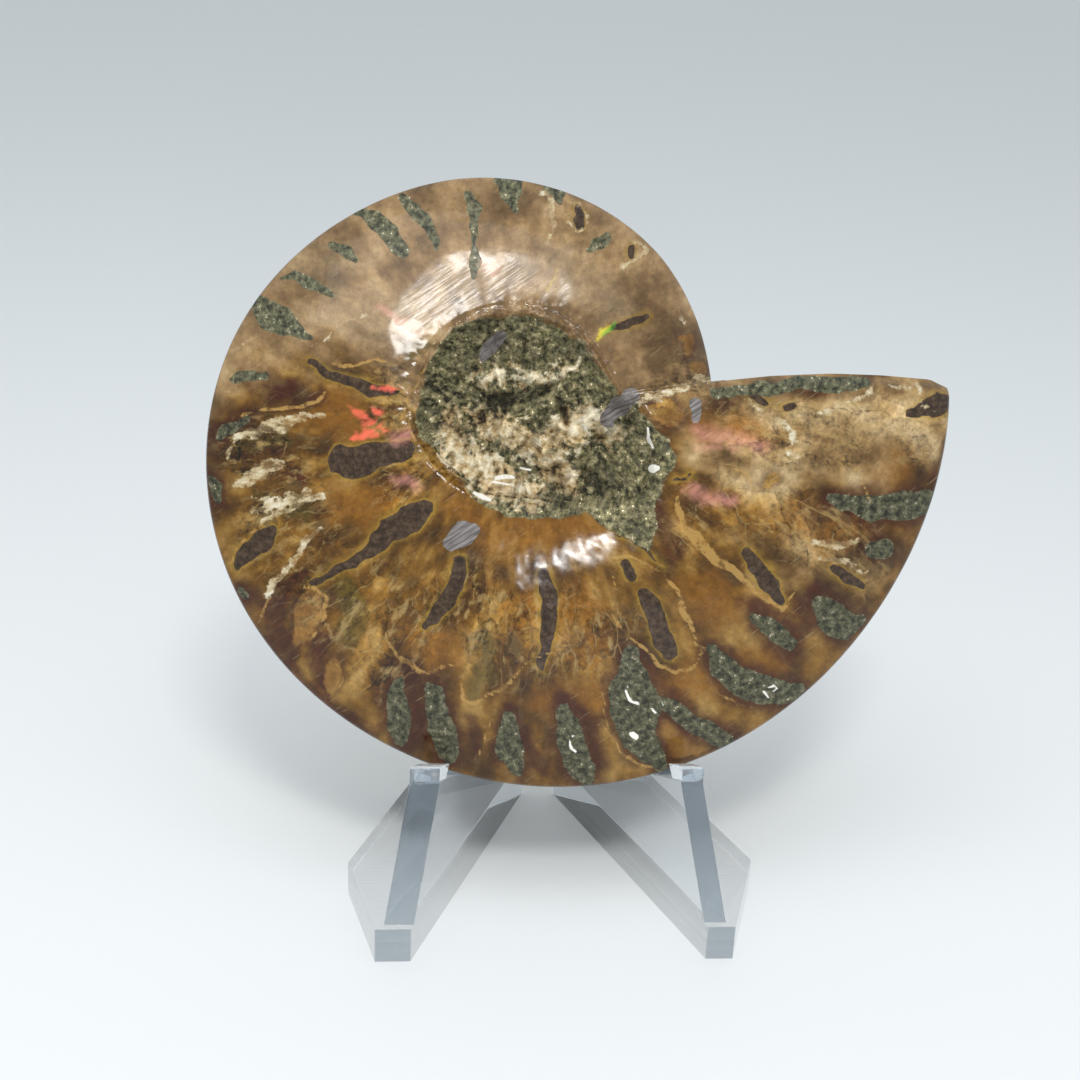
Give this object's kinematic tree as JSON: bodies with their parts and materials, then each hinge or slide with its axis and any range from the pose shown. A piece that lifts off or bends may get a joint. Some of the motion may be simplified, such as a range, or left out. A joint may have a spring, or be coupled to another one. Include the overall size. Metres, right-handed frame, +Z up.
{
  "type": "fossil ammonite on a clear stand",
  "caption": "Polished fossil ammonite, a coiled shell cut flat behind with a rough sunken centre, leaning in the slots of clear acrylic feet.",
  "frame": {"origin": "middle of the whole object's box, on the surface that the stand's feet rest on", "axes": "+Z up; +Y towards the back, where the ammonite leans; +X towards the shell's cut mouth; the ammonite faces -Y"},
  "size_m": [0.099, 0.0478, 0.0917],
  "materials": {
    "fossil": "polished",
    "clear_acrylic": "polished"
  },
  "bodies": {
    "root": {"ammonite": "fossil", "stand_foot_left": "clear_acrylic", "stand_foot_right": "clear_acrylic"}
  },
  "joints": []
}
